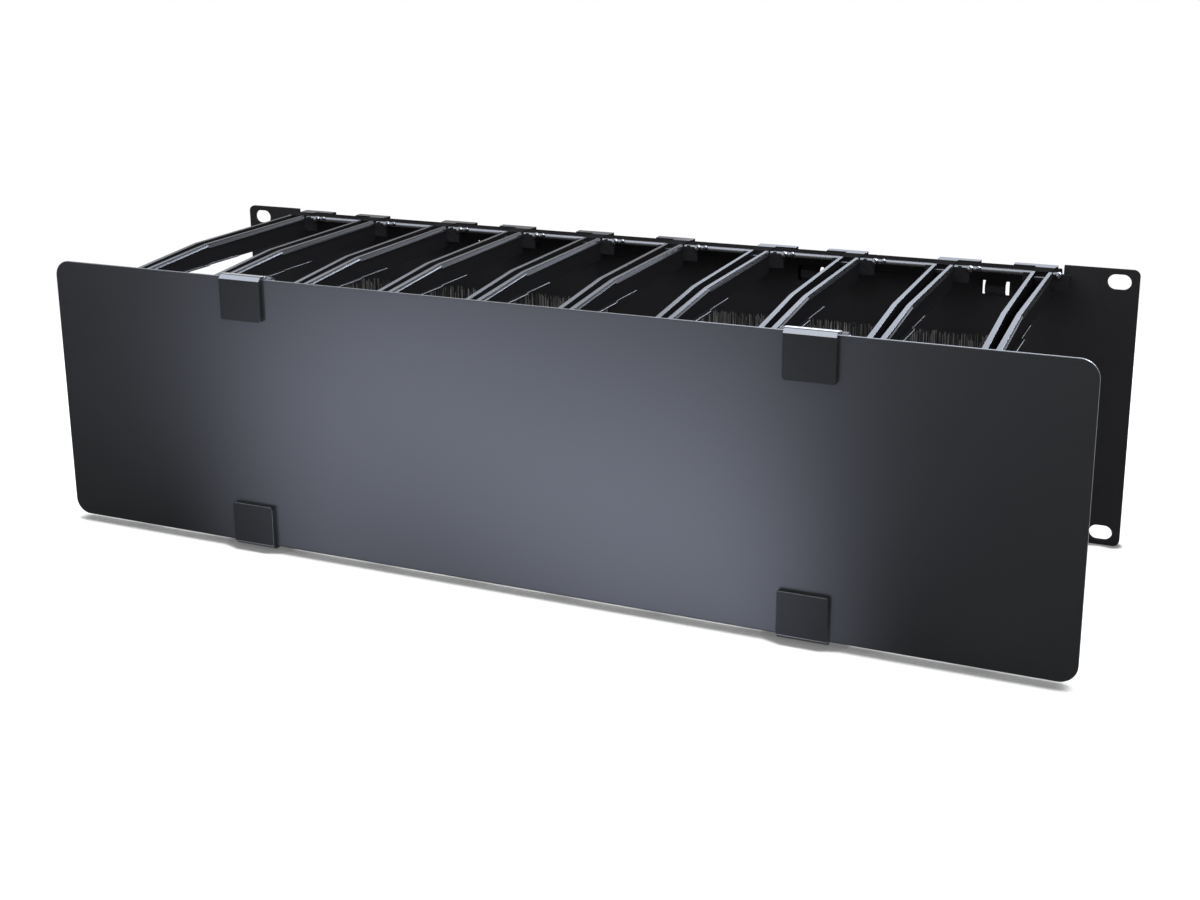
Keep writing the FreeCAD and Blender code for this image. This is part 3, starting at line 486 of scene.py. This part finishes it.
def merged(node):
    """The mesh of a solid with its triangles joined into flat faces."""
    mesh = bmesh.new()
    mesh.from_mesh(NODES[node].data)
    bmesh.ops.remove_doubles(mesh, verts=mesh.verts, dist=SAME_PLACE)
    bmesh.ops.dissolve_limit(mesh, angle_limit=FLAT_ANGLE, verts=mesh.verts, edges=mesh.edges)
    return mesh


def sharp_edges(mesh):
    """Edges that stand out; a corner that points inwards stays sharp."""
    return [edge for edge in mesh.edges
            if edge.is_manifold and edge.calc_face_angle_signed() > SHARP_ANGLE]


def break_edges(mesh, edges, width, segments):
    """Round some edges and return the faces that this made."""
    return bmesh.ops.bevel(
        mesh, geom=edges, offset=width, offset_type="OFFSET", affect="EDGES",
        segments=segments, profile=0.5, material=-1, clamp_overlap=False)["faces"]


def flush(edge, axis, level):
    """Tell whether both ends of an edge lie at a level of an axis."""
    return all(abs(vertex.co[axis] - level) < NEAR for vertex in edge.verts)


def block(mesh, low, high):
    """Add a box between two corners."""
    bmesh.ops.create_cube(mesh, size=1.0,
                          matrix=Matrix.LocRotScale((low + high) / 2, None, high - low))


def polish(mesh, faces, amount=RAIL_MARK):
    """Mark faces as polished."""
    layer = mesh.loops.layers.float.get("polished") or mesh.loops.layers.float.new("polished")
    for face in faces:
        for loop in face.loops:
            loop[layer] = amount


def finished(mesh, name, material, body, nodes):
    """Turn a bmesh into a piece that rides on a body and stands for some solids."""
    bmesh.ops.recalc_face_normals(mesh, faces=mesh.faces)
    data = bpy.data.meshes.new(name)
    mesh.to_mesh(data)
    mesh.free()
    for polygon in data.polygons:
        polygon.use_smooth = True
    data.set_sharp_from_angle(angle=SMOOTH_ANGLE)
    data.materials.append(material)
    piece = bpy.data.objects.new(name, data)
    bpy.context.scene.collection.objects.link(piece)
    weight = piece.modifiers.new("flat faces", "WEIGHTED_NORMAL")
    weight.keep_sharp = True
    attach(piece, body)
    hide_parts(*nodes)
    return piece


def softened(node, name, material, body, width, segments=2):
    """A solid with all its sharp edges rounded."""
    mesh = merged(node)
    break_edges(mesh, sharp_edges(mesh), width, segments)
    return finished(mesh, name, material, body, [node])


def dress(node, material):
    """Give a solid that stays as it is its finish."""
    slots = NODES[node].data.materials
    slots.clear()
    slots.append(material)


class CableManagerPlate(bpy.types.Operator):
    """Mounting plate with its broken edges and powder coat"""

    bl_idname = "cable_manager.plate"
    bl_label = "Mounting plate"

    def execute(self, context):
        sizes = context.scene.cable_sizes
        looks = context.scene.cable_finishes
        coat = powder_coat("plate_coat", looks.coat, looks.coat_rough, looks.nose_gloss_and_deck_shade)
        softened("mounting_plate", "plate", coat, FRAME_BODY, sizes.sheet_edge)
        return {"FINISHED"}


class CableManagerFingers(bpy.types.Operator):
    """The twenty fingers, with rounded rails and the nubs of their shoes"""

    bl_idname = "cable_manager.fingers"
    bl_label = "Fingers"

    def execute(self, context):
        sizes = context.scene.cable_sizes
        looks = context.scene.cable_finishes
        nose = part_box("mounting_plate")[0].y
        deck_end = max(abs(vertex.co.x) for vertex in NODES["mounting_plate"].data.vertices
                       if vertex.co.y < nose + MM)
        plastic = moulded_plastic("finger_plastic", looks.moulding, looks.moulding_rough,
                                  0.0, 0.6 * MM, 0.02 * MM,
                                  (looks.rail_gloss, looks.rail_rough, 1.42),
                                  (nose - SHOE_FRONT, -sizes.cap_matt))
        for node in sorted(NODES):
            if node.startswith("finger_"):
                self.finger(node, plastic, sizes, nose, deck_end)
        return {"FINISHED"}

    @classmethod
    def finger(cls, node, plastic, sizes, nose, deck_end):
        """A finger of the rows: polished rails, rounded edges and the nubs on its shoe."""
        low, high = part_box(node)
        mesh = merged(node)
        turn = 1 if low.z > 0 else -1
        inner, outer = sorted((abs(low.z), abs(high.z)))
        tip = [vertex.co.x for vertex in mesh.verts if vertex.co.y < low.y + MM]
        middle = (min(tip) + max(tip)) / 2

        def on_lip(vertex):
            beside = abs(vertex.co.x - middle) > sizes.lip_from
            return beside and LIP_LOW < abs(vertex.co.z) - inner < LIP_HIGH

        def on_rail(face):
            levels = [abs(vertex.co.z) for vertex in face.verts]
            low_rise = max(levels) - min(levels) < sizes.rail_high
            above = min(levels) > inner + RAIL_FROM
            return low_rise and above and turn * face.normal.z > RAIL_FACING

        mesh.normal_update()
        polish(mesh, filter(on_rail, mesh.faces))
        lip = [edge for edge in sharp_edges(mesh) if all(map(on_lip, edge.verts))]
        polish(mesh, break_edges(mesh, lip, sizes.lip_edge, 2))
        break_edges(mesh, sharp_edges(mesh), sizes.moulded_edge, 2)
        cls.nubs(mesh, sizes, middle, turn, outer, nose, deck_end)
        finished(mesh, node.replace("finger", "guide"), plastic, FRAME_BODY,
                 [node])

    @staticmethod
    def nubs(mesh, sizes, middle, turn, outer, nose, deck_end):
        """The nubs that lie on the deck, or at its end the larger one alone."""
        nubs = [(offset, radius) for offset, radius in (
            (sizes.nub_offset, sizes.nub_radius),
            (sizes.nub_offset + sizes.nub_apart, sizes.nub_small))
            if abs(middle + turn * offset) < deck_end]
        for offset, radius in nubs or [(deck_end - abs(middle), sizes.nub_radius)]:
            spot = Vector((middle + turn * offset, nose - NUB_PROUD, turn * (outer - radius)))
            nub = bmesh.ops.create_uvsphere(
                mesh, u_segments=14, v_segments=8, radius=radius,
                matrix=Matrix.LocRotScale(spot, None, Vector((1.0, sizes.nub_long, 1.0))))
            polish(mesh, {face for vertex in nub["verts"] for face in vertex.link_faces},
                   NUB_MARK)


class CableManagerCover(bpy.types.Operator):
    """Front cover of satin painted sheet"""

    bl_idname = "cable_manager.cover"
    bl_label = "Cover"

    def execute(self, context):
        sizes = context.scene.cable_sizes
        looks = context.scene.cable_finishes
        paint = satin_paint("cover_coat", looks.paint, looks.paint_rough)
        softened("cover_panel", "cover", paint, COVER_BODY, sizes.cover_edge, 3)
        return {"FINISHED"}


class CableManagerHinges(bpy.types.Operator):
    """Clips on the cover, brackets on the fingers and the pins between them"""

    bl_idname = "cable_manager.hinges"
    bl_label = "Clips and hinges"

    def execute(self, context):
        sizes = context.scene.cable_sizes
        looks = context.scene.cable_finishes
        plastic = moulded_plastic("clip_plastic", looks.clip, looks.clip_rough, 0.05,
                                  0.5 * MM, 0.012 * MM, (1.0, 0.2, 1.55))
        bracket = moulded_plastic("bracket_plastic", looks.moulding, looks.moulding_rough,
                                  0.4, 1.2 * MM, 0.02 * MM)
        steel = drawn_steel("pin_steel", looks.steel)
        for corner in CORNERS:
            self.clip(corner, plastic, sizes)
            dress(f"hinge_bracket_{corner}", bracket)
            dress(f"hinge_pin_{corner}", steel)
        return {"FINISHED"}

    @staticmethod
    def clip(corner, plastic, sizes):
        """The solid behind the face of the cover, and before it a pad with crisp corners
        and a sloping outer end. The front of the pad and its outermost edge are matt."""
        node = f"cover_clip_{corner}"
        low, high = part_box(node)
        face_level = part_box("cover_panel")[0].y
        turn = 1 if low.z > 0 else -1
        inner, outer = sorted((low.z, high.z), key=abs)
        mesh = merged(node)
        cut = bmesh.ops.bisect_plane(
            mesh, geom=mesh.verts[:] + mesh.edges[:] + mesh.faces[:],
            plane_co=(0, face_level, 0), plane_no=(0, -1, 0), clear_outer=True)
        bmesh.ops.holes_fill(mesh, edges=[
            item for item in cut["geom_cut"] if isinstance(item, bmesh.types.BMEdge)])
        behind = [edge for edge in sharp_edges(mesh)
                  if min(vertex.co.y for vertex in edge.verts) > face_level + NEAR]
        break_edges(mesh, behind, sizes.moulded_edge, 2)

        block(mesh, Vector((low.x, low.y, low.z)), Vector((high.x, face_level, high.z)))

        def of_pad():
            return [edge for edge in mesh.edges
                    if min(vertex.co.y for vertex in edge.verts) < face_level - NEAR]

        across = [edge for edge in of_pad() if flush(edge, 2, inner)
                  and not flush(edge, 1, low.y)]
        break_edges(mesh, across, sizes.clip_corner, 4)
        slope = [edge for edge in of_pad() if flush(edge, 2, outer) and flush(edge, 1, low.y)]
        break_edges(mesh, slope, sizes.clip_slope, 1)
        mesh.normal_update()
        pad = set(of_pad())
        break_edges(mesh, [edge for edge in sharp_edges(mesh) if edge in pad], sizes.clip_edge, 2)
        mesh.normal_update()

        def on_crest(face):
            middle = face.calc_center_median()
            return middle.y < face_level and turn * middle.z > abs(outer) - sizes.clip_edge

        polish(mesh, [face for face in mesh.faces if face.normal.y > -0.9 and not on_crest(face)])
        finished(mesh, f"clip_{corner}", plastic, COVER_BODY, [node])


class CableManagerBrushes(bpy.types.Operator):
    """Brush holders and their rows of bristles"""

    bl_idname = "cable_manager.brushes"
    bl_label = "Brushes"

    def execute(self, context):
        sizes = context.scene.cable_sizes
        looks = context.scene.cable_finishes
        coat = powder_coat("holder_coat", looks.coat, looks.coat_rough)
        hair = nylon("bristle_nylon", looks.nylon_dark, looks.nylon_glint)
        for number, side in enumerate(("left", "right")):
            softened(f"brush_holder_{side}", f"holder_{side}", coat, FRAME_BODY,
                     sizes.sheet_edge)
            self.row(side, sizes, hair, random.Random(number + 11))
        return {"FINISHED"}

    @staticmethod
    def row(side, sizes, hair, draw):
        """Thin tapered bristles, each a little out of line and of its own height."""
        low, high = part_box(f"bristles_{side}")
        mesh = bmesh.new()
        painted_glint = mesh.verts.layers.float.new("painted_glint")
        depth = (high.y - low.y) / sizes.bristle_rows
        half = sizes.bristle_wide / 2
        block(mesh, Vector((low.x, low.y + depth, low.z)),
              Vector((high.x, high.y - depth, low.z + sizes.bristle_bed)))
        count = int((high.x - low.x - 4 * half) / sizes.bristle_step)
        for row in range(sizes.bristle_rows):
            for index in range(count):
                x = low.x + 3 * half + (index + draw.uniform(*ALONG_STEP)) * sizes.bristle_step
                x = min(x, high.x - 3 * half)
                y = low.y + (row + draw.uniform(*ACROSS_ROW)) * depth
                tall = high.z - low.z - draw.random() ** SHORT_POWER * sizes.bristle_ragged
                # Painted highlight: some bristles are marked for a lighter colour.
                light = draw.random() < GLINT_CHANCE
                bright = draw.uniform(*GLINT_SHARE) if light else DARK_GLINT_SHARE * draw.random()
                thick = half * draw.uniform(*BRISTLE_GIRTH)
                stem = bmesh.ops.create_cone(
                    mesh, cap_ends=True, segments=4, radius1=thick, radius2=thick * BRISTLE_TAPER,
                    depth=tall, matrix=Matrix.Translation((x, y, low.z + tall / 2)))
                lean = draw.uniform(-BRISTLE_LEAN, BRISTLE_LEAN) * MM
                for vertex in stem["verts"]:
                    vertex[painted_glint] = bright
                    if vertex.co.z > low.z + tall / 2:
                        vertex.co.x = min(max(vertex.co.x + lean, low.x), high.x)
        finished(mesh, f"brush_{side}", hair, FRAME_BODY,
                 [f"bristles_{side}"])


class CableManagerLights(bpy.types.Operator):
    """Pale floor, soft studio lamps and the camera"""

    bl_idname = "cable_manager.stage"
    bl_label = "Stage"

    def execute(self, context):
        stage = context.scene.cable_stage
        self.floor(stage)
        self.low_glow(stage)
        self.world(context.scene, stage)
        self.lamp("over", stage.over, (-0.1, -0.1, 1.1), (1.6, 0.9))
        self.lamp("fill right", stage.fill, (1.3, -0.9, 0.9), (0.8, 0.8))
        inner = self.lamp("inner", stage.inner, (0.0, -0.12, 0.17), (0.44, 0.05))
        inner.visible_camera = False
        inner.visible_glossy = False
        for name, watts, spot, size in (
                ("top card", stage.top_card, (-0.45, -0.25, 1.2), (1.6, 1.5)),
                ("left card", stage.left_card, (-0.5, 1.25, 0.72), (1.7, 0.38)),
                ("back card", stage.back_card, (-0.05, 1.25, 0.55), (0.8, 0.7)),
                ("rim card", stage.rim_card, (0.57, 1.25, 0.28), (0.36, 0.45)),
                ("bend card", stage.bend_card, (0.6, 1.25, 0.86), (0.45, 0.72))):
            card = self.lamp(name, watts, spot, size)
            card.data.color = stage.card_tone
            self.glossy_only(card)
        self.camera(context.scene, stage)
        context.scene.view_settings.view_transform = "Standard"
        return {"FINISHED"}

    @staticmethod
    def sheet(name, low, high, level, material):
        """Flat rectangle of the stage."""
        mesh = bmesh.new()
        corners = [(low[0], low[1]), (high[0], low[1]), (high[0], high[1]), (low[0], high[1])]
        mesh.faces.new([mesh.verts.new((x, y, level)) for x, y in corners])
        data = bpy.data.meshes.new(name)
        mesh.to_mesh(data)
        mesh.free()
        data.materials.append(material)
        sheet = bpy.data.objects.new(name, data)
        bpy.context.scene.collection.objects.link(sheet)
        return sheet

    def floor(self, stage):
        """Pale floor that keeps the shadow near the object, darkened there by painted contact
        shadow, and fades to plain white.
        """
        finish = Finish("floor")
        seen = finish.seen()
        away = finish.node("ShaderNodeVectorMath", {"operation": "DISTANCE"},
                           Vector=finish.place)
        away.inputs[1].default_value = (0.0, FLOOR_MIDDLE_Y, FLOOR_LEVEL)
        far = finish.ramp(away.outputs["Value"], FADE_FROM, FADE_FULL)
        # Painted shadow: where ambient occlusion finds the object close, the floor's colour and glow
        # are made darker.
        free = finish.wire(finish.node(
            "ShaderNodeAmbientOcclusion", {"samples": 16}, Distance=stage.contact).outputs["AO"])
        clear = finish.ramp(free, SHADE_FROM, SHADE_FULL)
        lit = seen * (clear * (1.0 - SEEN_LEAST) + SEEN_LEAST)
        near = finish.node("ShaderNodeBsdfPrincipled", None, Roughness=0.9,
                           Specular_IOR_Level=0.0,
                           Base_Color=finish.between(clear, shade(stage.floor, SHADE_TONE),
                                                     stage.floor),
                           Emission_Color=finish.between(lit, (0, 0, 0), (SEEN_LIFT,) * 3),
                           Emission_Strength=1.0)
        plain = finish.node("ShaderNodeEmission", None,
                            Color=finish.between(seen, (UNSEEN_WHITE,) * 3, (1, 1, 1)))
        material = finish.show(finish.blend(far, near.outputs[0], plain.outputs[0]))
        self.sheet("floor", (-6, -6), (6, 6), FLOOR_LEVEL, material)

    def low_glow(self, stage):
        """Card on the floor before the cover, which shows only as the cover's soft gloss.

        Each of its points lights the point of the cover that mirrors it to the camera, so
        the glow is drawn on the cover: across it, and by the height above the floor."""
        low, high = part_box("cover_panel")
        depth = low.y - stage.eye[1]
        finish = Finish("low_glow")
        x, y, _ = finish.axes()
        ahead = (low.y - y) / depth
        across = (x + ahead * stage.eye[0]) / (ahead + 1.0)
        height = ahead * (stage.eye[2] - FLOOR_LEVEL) / (ahead + 1.0)
        left = finish.ramp(across, *(part * low.x for part in GLOW_LEFT))
        level = height + FLOOR_LEVEL
        right = finish.ramp(across + level * GLOW_SLANT, *(part * high.x for part in GLOW_RIGHT))
        rise = finish.ramp(across, GLOW_MIDDLE * low.x, GLOW_MIDDLE * high.x) * GLOW_RISE
        off = finish.ramp(abs(level + (rise - GLOW_DROP)), 0.0, GLOW_HIGH)
        strength = left * right * (1.0 - off * GLOW_LOSS) * stage.glow
        glow = finish.node("ShaderNodeEmission", None, Color=(*stage.glow_tone, 1.0),
                           Strength=strength)
        card = self.sheet("low_glow", (GLOW_ENDS[0], low.y - GLOW_REACH),
                          (GLOW_ENDS[1], low.y - GLOW_GAP),
                          FLOOR_LEVEL + GLOW_LIFT, finish.show(glow.outputs[0]))
        self.glossy_only(card)
        card.visible_shadow = False

    @staticmethod
    def world(scene, stage):
        """Light of the room, and plain white where the camera looks past the object."""
        world = bpy.data.worlds.new("studio")
        scene.world = world
        world.use_nodes = True
        sky = Tree(world.node_tree)
        room = sky.node("ShaderNodeBackground", None, Color=(*stage.room_tone, 1.0),
                        Strength=stage.room)
        white = sky.node("ShaderNodeBackground", None, Color=(1.0, 1.0, 1.0, 1.0))
        both = sky.blend(sky.seen(), room.outputs[0], white.outputs[0])
        sky.node("ShaderNodeOutputWorld", None, Surface=both)

    @staticmethod
    def glossy_only(card):
        """Let a bright card show only as a gloss on the object."""
        card.visible_camera = False
        card.visible_diffuse = False

    @staticmethod
    def lamp(name, watts, spot, size):
        """Soft rectangular lamp aimed at the middle of the object."""
        data = bpy.data.lights.new(name, "AREA")
        data.shape = "RECTANGLE"
        data.size, data.size_y = size
        data.energy = watts
        lamp = bpy.data.objects.new(name, data)
        lamp.location = spot
        middle = (CAD_BOX[0] + CAD_BOX[1]) / 2
        lamp.rotation_euler = (middle - Vector(spot)).to_track_quat("-Z", "Y").to_euler()
        bpy.context.scene.collection.objects.link(lamp)
        return lamp

    @staticmethod
    def camera(scene, stage):
        """Camera at the stage's place, turned to its left, down and about its own line."""
        data = bpy.data.cameras.new("camera")
        data.sensor_width = SENSOR_WIDE
        data.lens = stage.focal
        data.shift_y = stage.drop
        data.clip_start = 0.01
        camera = bpy.data.objects.new("camera", data)
        camera.matrix_world = (
            Matrix.Translation(stage.eye)
            @ Matrix.Rotation(stage.yaw, 4, "Z")
            @ Matrix.Rotation(math.pi / 2 - stage.dip, 4, "X")
            @ Matrix.Rotation(stage.roll, 4, "Z"))
        scene.collection.objects.link(camera)
        scene.camera = camera


class CableManagerPanel(bpy.types.Panel):
    """Lists the pieces and their sizes in the sidebar."""

    bl_idname = "VIEW3D_PT_cable_manager"
    bl_label = "Cable manager"
    bl_space_type = "VIEW_3D"
    bl_region_type = "UI"
    bl_category = "Cable manager"

    def draw(self, context):
        for maker in MAKERS:
            self.layout.operator(maker.bl_idname)
        for group in (context.scene.cable_sizes, context.scene.cable_finishes,
                      context.scene.cable_stage):
            column = self.layout.column()
            for name in group.__annotations__:
                column.prop(group, name)


MAKERS = (CableManagerPlate, CableManagerFingers, CableManagerCover, CableManagerHinges,
          CableManagerBrushes, CableManagerLights)
GROUPS = {"cable_sizes": CableManagerSizes, "cable_finishes": CableManagerFinishes,
          "cable_stage": CableManagerStage}


def register():
    """Register the property groups, the operators and the panel."""
    for item in (*GROUPS.values(), *MAKERS, CableManagerPanel):
        bpy.utils.register_class(item)
    for name, group in GROUPS.items():
        setattr(bpy.types.Scene, name, PointerProperty(type=group))


def unregister():
    """Take them all away again."""
    for name in GROUPS:
        delattr(bpy.types.Scene, name)
    for item in (CableManagerPanel, *reversed(MAKERS), *reversed(GROUPS.values())):
        bpy.utils.unregister_class(item)


def main():
    """Build every piece and the stage."""
    register()
    for maker in MAKERS:
        group, name = maker.bl_idname.split(".")
        getattr(getattr(bpy.ops, group), name)()


if __name__ == "__main__":
    main()
